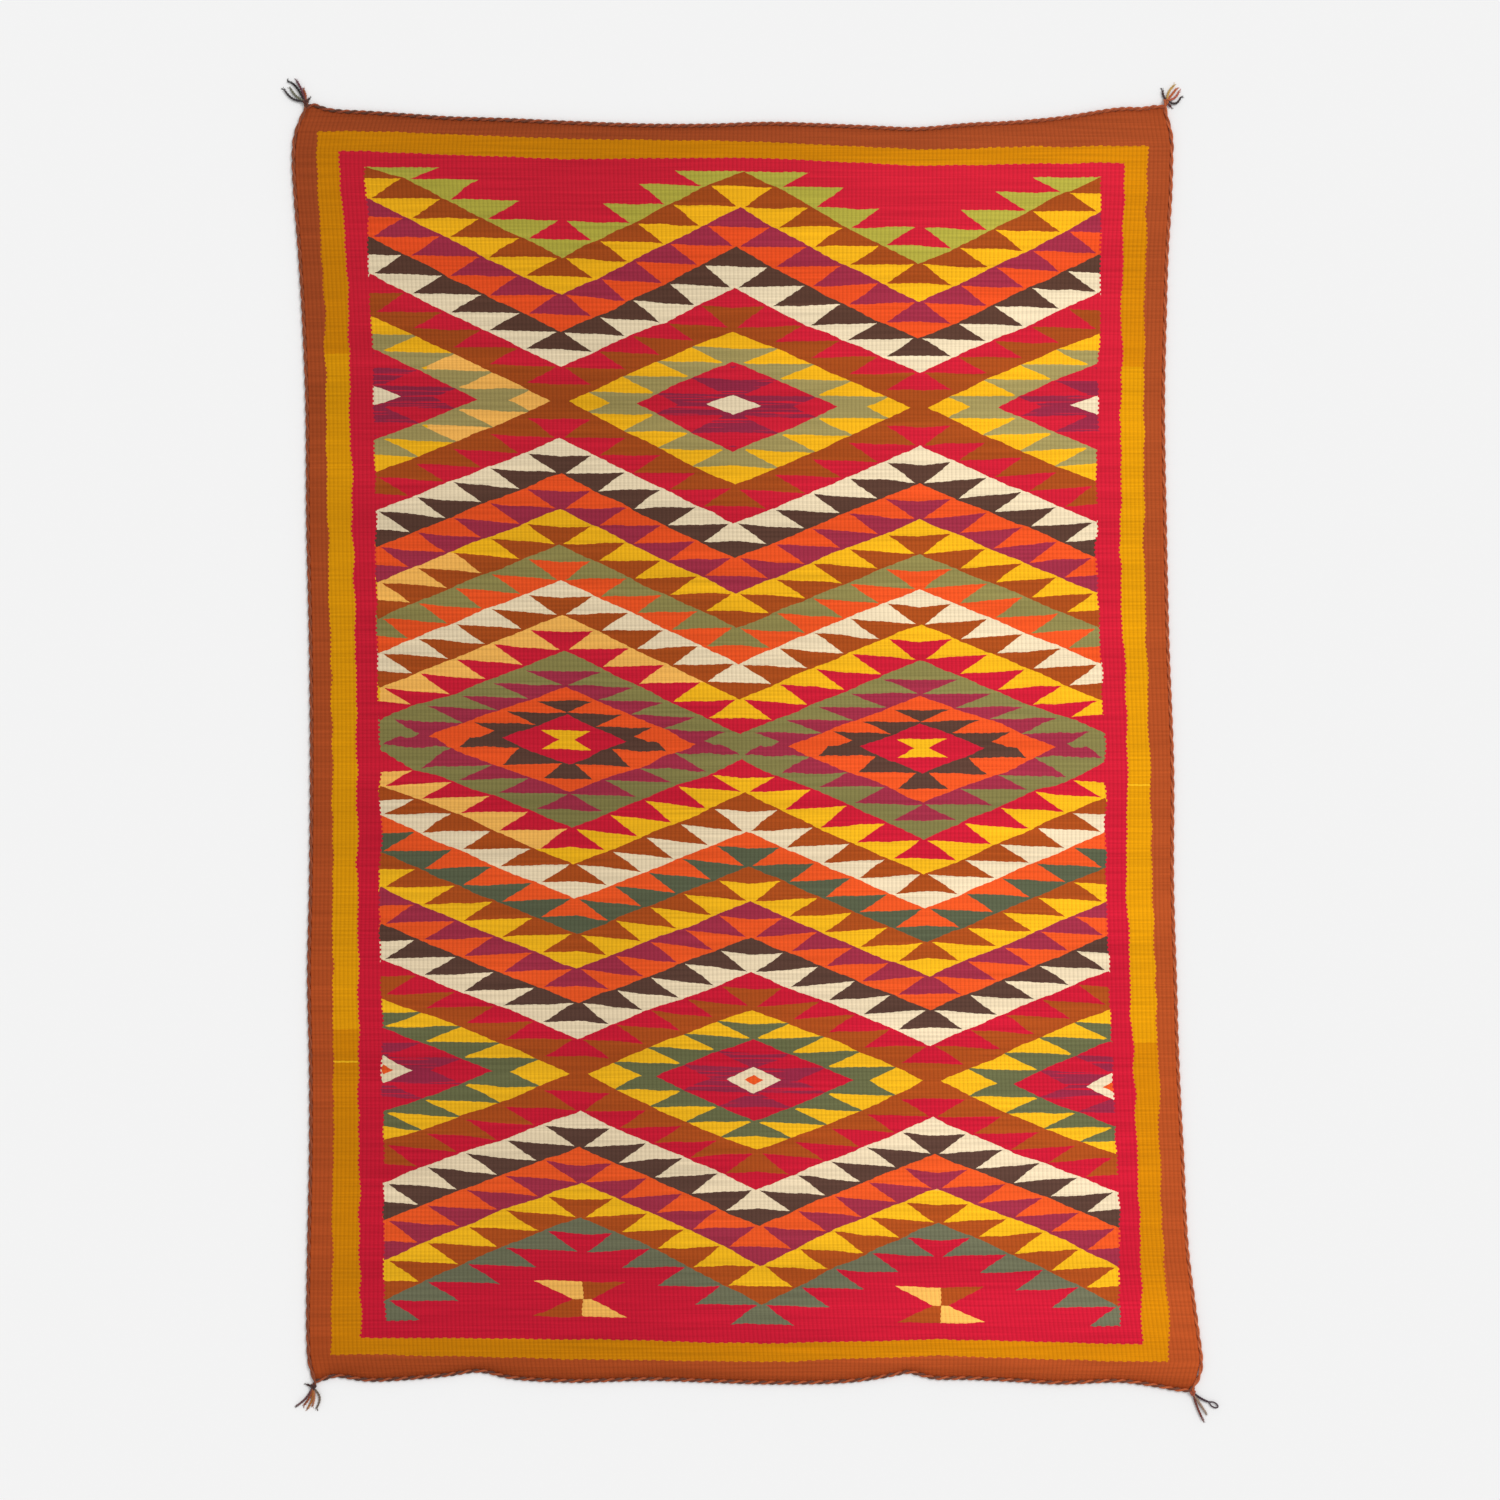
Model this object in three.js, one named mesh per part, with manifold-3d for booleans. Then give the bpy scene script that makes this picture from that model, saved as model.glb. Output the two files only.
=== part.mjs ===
// A hand-woven wool floor rug, lying flat and face up on a floor.
// One tapestry-woven panel is closed on all four edges by a twined two-ply cord, and at
// each corner the ends of two cords are knotted together into a short loose tassel.
// Millimetres: +X runs across the rug, +Y towards its upper end, +Z up from the floor.

import * as THREE from 'three';
import { mergeVertices } from 'three/addons/utils/BufferGeometryUtils.js';
import Module from 'manifold-3d';

const wasm = await Module();
wasm.setup();

// Woven panel
const panelThickness = 3;
const rimStep = 7; // spacing of the points round the panel's rim
const cornerCut = 3; // the web stops this far short of where its cords run out

// Twined edge cords: the lens-shaped section of two plies, turned along its length
const cordWidth = 4.4;
const cordHeightAcross = 2.9;
const cordClearance = 0.3;
const endCordTurn = 17.6;
const sideCordTurn = 28;
const stepsPerTurn = 5;
const drawnInLength = 9; // a cord narrows over this length where it enters a knot
const drawnInShare = 0.75;

// Corner knots and their loose yarn ends
const knotRadius = 3.6;
const knotHeight = 5.4;
const knotSides = 12;
const strandWidth = 2;
const strandSteps = 6;
const eyeRadius = 3;

// The rug's outer edges, measured over the cords. Each row is one station along the
// edge: it gives where both edges of the pair lie there, as uneven as the real weaving.
const SIDE_STATIONS = [
  { y: -690, left: -484, right: 494 },
  { y: -676, left: -488, right: 497 },
  { y: -640, left: -490, right: 493 },
  { y: -610, left: -490, right: 489 },
  { y: -545, left: -489, right: 481 },
  { y: -446, left: -487, right: 476 },
  { y: -347, left: -487, right: 471 },
  { y: -248, left: -489, right: 468 },
  { y: -149, left: -487, right: 465 },
  { y: -17, left: -486, right: 465 },
  { y: 115, left: -487, right: 460 },
  { y: 248, left: -490, right: 457 },
  { y: 380, left: -491, right: 455 },
  { y: 478, left: -495, right: 457 },
  { y: 545, left: -499, right: 459 },
  { y: 610, left: -504, right: 463 },
  { y: 650, left: -506, right: 464 },
  { y: 676, left: -504, right: 464 },
  { y: 694, left: -498, right: 459 },
];
const END_STATIONS = [
  { x: -464, bottom: -691, top: 706 },
  { x: -420, bottom: -695, top: 703 },
  { x: -376, bottom: -693, top: 700 },
  { x: -332, bottom: -689, top: 697 },
  { x: -299, bottom: -685, top: 696 },
  { x: -266, bottom: -692, top: 695 },
  { x: -200, bottom: -696, top: 692 },
  { x: -112, bottom: -694, top: 689 },
  { x: -46, bottom: -696, top: 689 },
  { x: 20, bottom: -698, top: 691 },
  { x: 108, bottom: -696, top: 688 },
  { x: 152, bottom: -690, top: 686 },
  { x: 174, bottom: -686, top: 685 },
  { x: 196, bottom: -692, top: 686 },
  { x: 240, bottom: -693, top: 690 },
  { x: 284, bottom: -695, top: 692 },
  { x: 339, bottom: -698, top: 697 },
  { x: 405, bottom: -696, top: 707 },
  { x: 438, bottom: -700, top: 708 },
];

// The four knots, and the loose ends that fan out of each one on the floor. A strand's
// tip lies at its reach and bearing from the knot, in millimetres and in degrees from
// +X, and the strand bows sideways on its way there. An eye is a small loop at the tip.
const KNOTS = {
  bottom_left: new THREE.Vector2(-481.5, -700),
  bottom_right: new THREE.Vector2(485, -706.5),
  top_right: new THREE.Vector2(456, 713),
  top_left: new THREE.Vector2(-490, 712),
};
const STRANDS = {
  bottom_left: [
    { bearing: 162, reach: 8, bow: 0 },
    { bearing: 229, reach: 28, bow: 2 },
    { bearing: 243, reach: 23, bow: 1.5 },
    { bearing: 255, reach: 25, bow: 2 },
    { bearing: 267, reach: 21, bow: 1.5 },
    { bearing: 278, reach: 24, bow: 5 },
  ],
  bottom_right: [
    { bearing: 291, reach: 33, bow: -1 },
    { bearing: 303, reach: 27, bow: 0 },
    { bearing: 330, reach: 28, bow: -1, eye: true },
  ],
  top_right: [
    { bearing: 311, reach: 8, bow: 0 },
    { bearing: 24, reach: 21, bow: -4 },
    { bearing: 39, reach: 22, bow: -2.5 },
    { bearing: 51, reach: 21, bow: 0 },
    { bearing: 63, reach: 23, bow: 2 },
    { bearing: 108, reach: 13, bow: 1 },
  ],
  top_left: [
    { bearing: 48, reach: 8, bow: 0 },
    { bearing: 92, reach: 15, bow: -1 },
    { bearing: 113, reach: 26, bow: -1 },
    { bearing: 125, reach: 31, bow: -1 },
    { bearing: 138, reach: 23, bow: 2 },
    { bearing: 149, reach: 28, bow: 4 },
  ],
};

const COLOURS = { panel: 0xb5381f, endCord: 0x6b3a22, sideCord: 0xa3471f, tassel: 0x7a3f2a };

function wool(colour) {
  return new THREE.MeshStandardMaterial({ color: colour, roughness: 0.95, metalness: 0 });
}

function named(name, geometry, colour) {
  const mesh = new THREE.Mesh(geometry, wool(colour));
  mesh.name = name;
  return mesh;
}

// Only positions are kept, with shared corners merged, so that the surface is closed.
function closed(geometry) {
  geometry.deleteAttribute('normal');
  geometry.deleteAttribute('uv');
  const merged = mergeVertices(geometry);
  merged.computeVertexNormals();
  return merged;
}

// The middle line of one edge cord, from the knot that it leaves to the knot that it enters.
function cordLine(stations, leaves, enters) {
  const points = stations.map(([x, y]) => new THREE.Vector2(x, y));
  const clearOfKnot = knotRadius + cordClearance;
  const endAt = (knot, next) => next.clone().sub(knot).setLength(clearOfKnot).add(knot);
  const route = [endAt(leaves, points[0]), ...points, endAt(enters, points.at(-1))];
  const line = new THREE.CatmullRomCurve3(
    route.map((p) => new THREE.Vector3(p.x, p.y, cordWidth / 2)),
    false,
    'centripetal',
  );
  line.arcLengthDivisions = 1000;
  return line;
}

// Two twined plies: a four-cornered section that turns steadily as it follows the line.
function twinedCord(line, turn) {
  const length = line.getLength();
  const steps = Math.round((length / turn) * stepsPerTurn);
  const cord = new THREE.CylinderGeometry(1, 1, 1, 4, steps);
  const at = cord.attributes.position;
  for (let i = 0; i < at.count; i += 1) {
    const share = THREE.MathUtils.clamp(at.getY(i) + 0.5, 0, 1);
    const toEnd = Math.min(share, 1 - share) * length;
    const size = THREE.MathUtils.lerp(drawnInShare, 1, Math.min(toEnd / drawnInLength, 1));
    const section = new THREE.Vector2(
      (at.getX(i) * size * cordWidth) / 2,
      (at.getZ(i) * size * cordHeightAcross) / 2,
    );
    section.rotateAround(new THREE.Vector2(), (2 * Math.PI * share * length) / turn);
    const middle = line.getPointAt(share);
    const ahead = line.getTangentAt(share);
    const place = middle.add(new THREE.Vector3(ahead.y, -ahead.x, 0).multiplyScalar(section.x));
    at.setXYZ(i, place.x, place.y, place.z + section.y);
  }
  return closed(cord);
}

// The web fills the room inside the four cords, which run anticlockwise round it.
function wovenPanel(lines) {
  const rim = [];
  for (const line of lines) {
    const length = line.getLength();
    const count = Math.round((length - 2 * cornerCut) / rimStep);
    for (let i = 0; i <= count; i += 1) {
      const share = (cornerCut + ((length - 2 * cornerCut) * i) / count) / length;
      const point = line.getPointAt(share);
      const ahead = line.getTangentAt(share);
      const inwards = new THREE.Vector2(-ahead.y, ahead.x).setLength(cordWidth / 2 + cordClearance);
      rim.push(new THREE.Vector2(point.x, point.y).add(inwards));
    }
  }
  const slab = new THREE.ExtrudeGeometry(new THREE.Shape(rim), {
    depth: panelThickness,
    bevelEnabled: false,
  });
  return closed(slab);
}

// A tight overhand knot, drawn down on the floor.
function knot(centre) {
  const profile = [
    [0, 0],
    [0.75, 0],
    [1, 0.3],
    [0.95, 0.65],
    [0.6, 0.95],
    [0, 1],
  ].map(([out, up]) => new THREE.Vector2(out * knotRadius, up * knotHeight));
  const bead = new THREE.LatheGeometry(profile, knotSides);
  bead.rotateX(Math.PI / 2);
  bead.translate(centre.x, centre.y, 0);
  return closed(bead);
}

// One loose end: a bowed strand of square section that lies level on the floor.
function strand(centre, { bearing, reach, bow }) {
  const along = new THREE.Vector2(reach, 0).rotateAround(
    new THREE.Vector2(),
    THREE.MathUtils.degToRad(bearing),
  );
  const sideways = new THREE.Vector2(-along.y, along.x).setLength(2 * Math.abs(bow) || 1);
  const control = along.clone().multiplyScalar(0.5).addScaledVector(sideways, Math.sign(bow));
  const lying = (p) => new THREE.Vector3(centre.x + p.x, centre.y + p.y, strandWidth / 2);
  const half = strandWidth / 2;
  const section = new THREE.Shape([
    new THREE.Vector2(-half, -half),
    new THREE.Vector2(half, -half),
    new THREE.Vector2(half, half),
    new THREE.Vector2(-half, half),
  ]);
  return closed(
    new THREE.ExtrudeGeometry(section, {
      steps: strandSteps,
      bevelEnabled: false,
      extrudePath: new THREE.QuadraticBezierCurve3(
        lying(new THREE.Vector2()),
        lying(control),
        lying(along),
      ),
    }),
  );
}

// The small loop left at a strand's tip, lying flat.
function eye(centre, { bearing, reach }) {
  const ring = new THREE.TorusGeometry(eyeRadius, strandWidth / 2, 4, 12);
  const turned = THREE.MathUtils.degToRad(bearing);
  const out = reach + eyeRadius;
  ring.translate(
    centre.x + out * Math.cos(turned),
    centre.y + out * Math.sin(turned),
    strandWidth / 2,
  );
  return closed(ring);
}

function asSolid(geometry) {
  return new wasm.Manifold(
    new wasm.Mesh({
      numProp: 3,
      vertProperties: new Float32Array(geometry.attributes.position.array),
      triVerts: new Uint32Array(geometry.index.array),
    }),
  );
}

function joined(geometries) {
  const whole = geometries.map(asSolid).reduce((sum, piece) => sum.add(piece)).getMesh();
  const geometry = new THREE.BufferGeometry();
  geometry.setAttribute('position', new THREE.BufferAttribute(whole.vertProperties, 3));
  geometry.setIndex(new THREE.BufferAttribute(whole.triVerts, 1));
  geometry.computeVertexNormals();
  return geometry;
}

function tassel(corner) {
  const centre = KNOTS[corner];
  const ends = STRANDS[corner];
  const eyes = ends.filter((end) => end.eye);
  return joined([
    knot(centre),
    ...ends.map((end) => strand(centre, end)),
    ...eyes.map((end) => eye(centre, end)),
  ]);
}

// The cords, anticlockwise from the bottom end.
const inset = cordWidth / 2;
const bottomEnd = END_STATIONS.map((s) => [s.x, s.bottom + inset]);
const rightSide = SIDE_STATIONS.map((s) => [s.right - inset, s.y]);
const topEnd = END_STATIONS.map((s) => [s.x, s.top - inset]).reverse();
const leftSide = SIDE_STATIONS.map((s) => [s.left + inset, s.y]).reverse();
const cords = {
  end_cord_bottom: cordLine(bottomEnd, KNOTS.bottom_left, KNOTS.bottom_right),
  side_cord_right: cordLine(rightSide, KNOTS.bottom_right, KNOTS.top_right),
  end_cord_top: cordLine(topEnd, KNOTS.top_right, KNOTS.top_left),
  side_cord_left: cordLine(leftSide, KNOTS.top_left, KNOTS.bottom_left),
};

const rug = new THREE.Group();
rug.add(named('rug_panel', wovenPanel(Object.values(cords)), COLOURS.panel));
for (const [name, line] of Object.entries(cords)) {
  const atEnd = name.startsWith('end');
  const turn = atEnd ? endCordTurn : sideCordTurn;
  rug.add(named(name, twinedCord(line, turn), atEnd ? COLOURS.endCord : COLOURS.sideCord));
}
for (const corner of Object.keys(KNOTS)) {
  rug.add(named(`tassel_${corner}`, tassel(corner), COLOURS.tassel));
}

// The origin is on the floor, under the middle of the rug's box.
const box = new THREE.Box3().setFromObject(rug);
const middle = box.getCenter(new THREE.Vector3());
rug.position.set(-middle.x, -middle.y, -box.min.z);

const model = new THREE.Group();
model.add(rug);
export default model;
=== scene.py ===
"""A hand-woven wool floor rug with serrated diamonds, twined edge cords and knotted corner tassels.

It lies flat and face up, in metres, in the CAD model's frame: X across, Y along, Z up from the floor.
"""
import math
import random

import bmesh
import bpy
import numpy as np
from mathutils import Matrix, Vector, noise


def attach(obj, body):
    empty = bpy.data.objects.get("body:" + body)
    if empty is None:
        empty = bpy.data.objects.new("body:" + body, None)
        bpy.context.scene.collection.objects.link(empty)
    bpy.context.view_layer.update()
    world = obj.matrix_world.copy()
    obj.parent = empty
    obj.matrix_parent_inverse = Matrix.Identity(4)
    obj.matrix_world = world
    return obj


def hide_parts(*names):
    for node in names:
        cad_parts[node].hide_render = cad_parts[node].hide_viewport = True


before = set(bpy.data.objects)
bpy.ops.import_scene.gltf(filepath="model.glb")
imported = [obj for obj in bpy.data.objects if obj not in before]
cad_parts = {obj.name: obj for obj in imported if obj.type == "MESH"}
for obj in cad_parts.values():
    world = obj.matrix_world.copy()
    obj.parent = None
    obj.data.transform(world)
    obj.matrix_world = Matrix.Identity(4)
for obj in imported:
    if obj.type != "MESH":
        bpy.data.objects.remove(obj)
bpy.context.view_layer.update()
MM = 0.001

# The studio: a pale matte floor just under the rug, soft light from all round with one broad lamp high on
# the right, and the camera straight above the rug on a long lens.
VIEW_WIDTH = 1.65
VIEW_CENTRE = (-2.15 * MM, -0.2 * MM)
LENS_MM = 85
FILM_MM = 36
LAMP_TILT = math.radians(38)
LAMP_BEARING = math.radians(40)
FLOOR_HALF = 6
FLOOR_DROP = 0.3 * MM


def linear(hex_colour):
    """An sRGB hex colour as the linear values that a shader takes."""
    parts = [int(hex_colour[i:i + 2], 16) / 255 for i in (1, 3, 5)]
    return [p / 12.92 if p <= 0.04045 else ((p + 0.055) / 1.055) ** 2.4 for p in parts] + [1.0]


def add(tree, kind, inputs=None, out=0, **settings):
    """Adds a node, sets what is named, links or fills its inputs, and gives one of its outputs."""
    new = tree.nodes.new(kind)
    for name, value in settings.items():
        setattr(new, name, value)
    for key, value in (inputs or {}).items():
        if isinstance(value, bpy.types.NodeSocket):
            tree.links.new(value, new.inputs[key])
        else:
            new.inputs[key].default_value = value
    return new.outputs[out]


scene = bpy.context.scene
scene.view_settings.view_transform = "Standard"
scene.world = bpy.data.worlds.new("studio_air")
scene.world.use_nodes = True
air = scene.world.node_tree.nodes["Background"]
air.inputs["Color"].default_value = linear("#FFFFFF")
air.inputs["Strength"].default_value = 0.66

lamp = bpy.data.objects.new("broad_lamp", bpy.data.lights.new("broad_lamp", "SUN"))
lamp.data.energy = 1.33
lamp.data.angle = math.radians(25)
lamp.data.color = linear("#FFFFFF")[:3]
lamp.rotation_euler = (0, LAMP_TILT, LAMP_BEARING)
scene.collection.objects.link(lamp)

camera = bpy.data.objects.new("camera", bpy.data.cameras.new("camera"))
camera.data.lens = LENS_MM
camera.data.sensor_width = FILM_MM
camera.data.clip_end = 50
camera.location = (*VIEW_CENTRE, VIEW_WIDTH * LENS_MM / FILM_MM)
scene.collection.objects.link(camera)
scene.camera = camera

bm = bmesh.new()
bmesh.ops.create_grid(bm, x_segments=8, y_segments=8, size=FLOOR_HALF)
bmesh.ops.translate(bm, verts=bm.verts, vec=(0, 0, -FLOOR_DROP))
floor = bpy.data.objects.new("floor", bpy.data.meshes.new("floor"))
bm.to_mesh(floor.data)
bm.free()
scene.collection.objects.link(floor)
matte = bpy.data.materials.new("matte_painted_floor")
matte.use_nodes = True
paint = matte.node_tree.nodes["Principled BSDF"]
paint.inputs["Base Color"].default_value = linear("#F4F4F4")
paint.inputs["Roughness"].default_value = 0.9
paint.inputs["Specular IOR Level"].default_value = 0.1
floor.data.materials.append(matte)

# The woven panel: one piece of weft-faced tapestry in hand-spun wool, finished on all four edges. The
# wefts cover some two hundred warps, which stand up as fine ribs along the rug. It is charted in rows
# of teeth: zigzag bands two rows deep, between diamonds that sit on three lines across the field.
PANEL_THICKNESS = 3 * MM
RIBS = 206
STEPS_PER_RIB = 4
RIB_RELIEF = 0.5 * MM
RIM_TUCK = 1.2 * MM
RIM_THICKNESS = 0.8 * MM
LEVEL_STEP = 40 * MM
LUMP_HEIGHT = 0.25 * MM
LUMPS_PER_METRE = 14

# Where the weaver's upright lines lie at eight heights, in millimetres from the rug's middle. From left
# to right: rust meets gold, gold meets red, the field's edge (column 0), the first valley (1), the middle
# peak (2), the second valley (3), the field's other edge (4), red meets gold, and gold meets rust.
CHART_COLUMNS = [
    {"y": 638, "x": (-478, -454, -425, -208, -10, 184, 385, 410, 435)},
    {"y": 484, "x": (-470, -443, -419, -210, -22, 184, 382, 407, 431)},
    {"y": 209, "x": (-466, -438, -413, -211, -19, 184, 378, 405, 431)},
    {"y": 5, "x": (-461, -434, -409, -203, -12, 186, 388, 413, 437)},
    {"y": -154, "x": (-461, -433, -409, -194, -2, 191, 389, 412, 440)},
    {"y": -363, "x": (-460, -432, -406, -190, 2, 198, 397, 420, 447)},
    {"y": -517, "x": (-461, -432, -405, -187, 7, 204, 404, 426, 451)},
    {"y": -633, "x": (-462, -430, -404, -186, 12, 208, 404, 429, 459)},
]

# The heights of some rows of the chart in columns 0 to 4. Row 0 is the middle of the upper diamonds, rows
# -13 and 52 are the field's ends, and in the rows beyond those red meets gold and gold meets rust.
CHART_ROWS = [
    {"row": 54, "y": (-665, -670, -673, -666, -672)},
    {"row": 53, "y": (-646, -648, -653, -648, -653)},
    {"row": 52, "y": (-627, -628, -632, -635, -633)},
    {"row": 47, "y": (-518, -532, -524, -539, -525)},
    {"row": 43, "y": (-434, -457, -443, -464, -448)},
    {"row": 38, "y": (-351, -356, -363, -364, -371)},
    {"row": 33, "y": (-270, -259, -283, -267, -280)},
    {"row": 25, "y": (-112, -107, -128, -119, -129)},
    {"row": 23, "y": (-72, -67, -90, -79, -90)},
    {"row": 21, "y": (-40, -28, -47, -38, -52)},
    {"row": 20, "y": (-25, -9, -32, -18, -37)},
    {"row": 19, "y": (16, 11, 5, 2, 3)},
    {"row": 18, "y": (53, 31, 36, 22, 39)},
    {"row": 17, "y": (68, 51, 55, 41, 54)},
    {"row": 13, "y": (145, 129, 134, 119, 134)},
    {"row": 5, "y": (301, 284, 287, 273, 290)},
    {"row": 0, "y": (389, 383, 379, 376, 379)},
    {"row": -5, "y": (482, 479, 464, 471, 462)},
    {"row": -9, "y": (565, 561, 553, 554, 545)},
    {"row": -11, "y": (608, 602, 596, 594, 592)},
    {"row": -12, "y": (629, 624, 619, 617, 611)},
    {"row": -13, "y": (641, 638, 636, 631, 629)},
    {"row": -14, "y": (658, 649, 651, 642, 645)},
    {"row": -15, "y": (680, 672, 669, 660, 664)},
]
RIM_ROWS = (55, -16)


def rim_line(side, sign):
    """One edge of the CAD panel, as places along it and how far out it lies, in metres."""
    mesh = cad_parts["rug_panel"].data
    along = 1 - side
    points = set()
    for face in mesh.polygons:
        normal = face.normal
        if abs(normal.z) < 0.5 and abs(normal[side]) > abs(normal[along]) and normal[side] * sign > 0:
            points |= {(mesh.vertices[i].co[along], mesh.vertices[i].co[side]) for i in face.vertices}
    places, reach = zip(*sorted(points))
    return np.array(places), np.array(reach)


RIM = {"left": rim_line(0, -1), "right": rim_line(0, 1), "bottom": rim_line(1, -1), "top": rim_line(1, 1)}


def rim(side, place):
    """How far out one edge of the rug lies at a place along it."""
    return np.interp(place, *RIM[side])


def across(x, y):
    """The chart's column number: 0 to 4 over the field, -3 at the left rim and 7 at the right rim."""
    heights = [row["y"] * MM for row in reversed(CHART_COLUMNS)]
    columns = zip(*[row["x"] for row in reversed(CHART_COLUMNS)])
    marks = [np.interp(y, heights, np.array(column) * MM) for column in columns]
    marks = [rim("left", y)] + marks + [rim("right", y)]
    number = np.full(np.shape(x), -3.0)
    for k, (low, high) in enumerate(zip(marks, marks[1:])):
        number = np.where(x >= low, k - 3 + (x - low) / (high - low), number)
    return number


def level_lines():
    """The chart rows that the mesh follows, from the lower end up, each with its height by x and column."""
    lines = [(RIM_ROWS[0], lambda x, u: rim("bottom", x))]
    for entry in CHART_ROWS:
        heights = np.array(entry["y"]) * MM
        lines.append((entry["row"], lambda x, u, h=heights: np.interp(u, range(5), h)))
    return lines + [(RIM_ROWS[1], lambda x, u: rim("top", x))]


def panel_grid():
    """The places and the chart's numbers along every row of the mesh."""
    share = np.linspace(0, 1, RIBS * STEPS_PER_RIB + 1)
    rows = []
    lines = level_lines()
    for lower, upper in zip(lines, lines[1:]):
        gap = float(np.mean(upper[1](0.0, 2.0) - lower[1](0.0, 2.0)))
        steps = max(1, round(gap / LEVEL_STEP))
        rows += [(lower, upper, k / steps) for k in range(steps)]
    rows.append((lines[-2], lines[-1], 1.0))
    places = []
    for lower, upper, part in rows:
        y = np.full(share.shape, float(lower[1](0.0, 2.0)))
        for _ in range(4):
            left = rim("left", y) - RIM_TUCK
            right = rim("right", y) + RIM_TUCK
            x = left + (right - left) * share
            u = across(x, y)
            y = lower[1](x, u) * (1 - part) + upper[1](x, u) * part
        places.append({"x": x, "y": y, "u": u, "row": lower[0] * (1 - part) + upper[0] * part})
    places[0]["y"] = places[0]["y"] - RIM_TUCK
    places[-1]["y"] = places[-1]["y"] + RIM_TUCK
    return places


def weave_panel():
    """One closed mesh: a grid given its thickness, then each vertex its place and its rib's height."""
    places = panel_grid()
    columns = RIBS * STEPS_PER_RIB
    bm = bmesh.new()
    bmesh.ops.create_grid(bm, x_segments=columns, y_segments=len(places) - 1, size=1)
    column = bm.verts.layers.int.new("column")
    line = bm.verts.layers.int.new("line")
    for index, vert in enumerate(bm.verts):
        vert[line], vert[column] = divmod(index, columns + 1)
    bmesh.ops.solidify(bm, geom=bm.faces[:], thickness=0.1)
    for vert in bm.verts:
        place = places[vert[line]]
        x = place["x"][vert[column]]
        y = place["y"][vert[column]]
        crest = math.sin(math.pi * vert[column] / STEPS_PER_RIB) ** 2
        at_rim = vert[line] in (0, len(places) - 1) or vert[column] in (0, columns)
        lump = noise.noise((x * LUMPS_PER_METRE, y * LUMPS_PER_METRE, 3.0)) * LUMP_HEIGHT
        height = RIB_RELIEF * (1 - crest) + max(0, lump)
        height = (PANEL_THICKNESS - RIM_THICKNESS) / 2 if at_rim else height
        top = vert.co.z > -0.05
        vert.co = (x, y, PANEL_THICKNESS - height if top else height)
    chart = bm.loops.layers.uv.new("chart")
    weave = bm.loops.layers.uv.new("weave")
    for face in bm.faces:
        face.smooth = True
        for loop in face.loops:
            place = places[loop.vert[line]]
            loop[chart].uv = (place["u"][loop.vert[column]], place["row"])
            loop[weave].uv = (loop.vert[column] / STEPS_PER_RIB, loop.vert.co.y / MM)
    bmesh.ops.recalc_face_normals(bm, faces=bm.faces)
    return bm


def as_object(name, bm):
    """Makes a finished mesh an object at the origin, in the scene."""
    made = bpy.data.objects.new(name, bpy.data.meshes.new(name))
    bm.to_mesh(made.data)
    bm.free()
    scene.collection.objects.link(made)
    return made


# The dyed yarns, each with its colour near the rug's upper end and near its lower end, at mid width.
YARNS = {
    "red": ("#CF2136", "#CD1C35"),
    "rust": ("#A44A24", "#B55024"),
    "gold": ("#D08306", "#D38406"),
    "yellow": ("#F5B41A", "#F7BA1E"),
    "peach": ("#FAB859", "#F9BB5B"),
    "orange": ("#ED5122", "#F05A25"),
    "purple": ("#A12F46", "#A23147"),
    "black": ("#5B3D31", "#5C4036"),
    "cream": ("#EEDBB7", "#EFDAB6"),
    "brown": ("#A44B1B", "#AF4F1D"),
    "moss": ("#B2A941", "#B2A941"),
    "grey_green": ("#A3945B", "#A3945B"),
    "olive": ("#A69A58", "#6E6A40"),
    "dark_green": ("#6A6C48", "#6A6C48"),
    "teal": ("#5A6048", "#5A6048"),
    "slate": ("#6F7057", "#6F7057"),
    "plum": ("#942A45", "#9B2B47"),
    "bright_gold": ("#DC9607", "#E29908"),
}
NAMES = list(YARNS)
CODES = 24
SAME_YARN = 0.01
BORDERS = ("red", "gold", "rust")
BORDER_SLOTS = 4

# The colours of the bands, by their reach from the middle of an upper or lower diamond in steps of two
# rows. In each band the teeth of the inner colour and of the outer one mesh. In the two end zones the
# pattern gives way to plain red ground from the seventh band's outer teeth on.
BANDS = [
    {"inner": "plum", "outer": "plum"},
    {"inner": "plum", "outer": "red"},
    {"inner": "dark_green", "outer": "yellow"},
    {"inner": "brown", "outer": "red"},
    {"inner": "cream", "outer": "black"},
    {"inner": "orange", "outer": "purple"},
    {"inner": "yellow", "outer": "brown"},
    {"inner": "moss", "outer": "orange"},
    {"inner": "cream", "outer": "brown"},
    {"inner": "yellow", "outer": "red"},
    {"inner": "red", "outer": "red"},
]
BAND_SLOTS = 16
TOOTH_BASE = 0.06

# The thin laps between bands, by the middle and half width of their reach.
LAPS = [(2.9, 0.1), (4.875, 0.125)]

# The rules, in rows of the chart: the rows that a column's width counts for, the rows between two lines of
# diamonds, the field's middle and half height, and the band after which the end zones are plain red.
COLUMN_ROWS = 5.0
LINE_ROWS = 19.0
FIELD_MIDDLE = 19.5
FIELD_HALF = 32.5
END_ZONE_BAND = 6.5

# The reach of a diamond, and how far its yellow teeth run on into the green ones.
DIAMOND_REACH = 4.75
DIAMOND_TIP = 4.15
TOOTH_OVERRUN = 0.15

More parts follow.
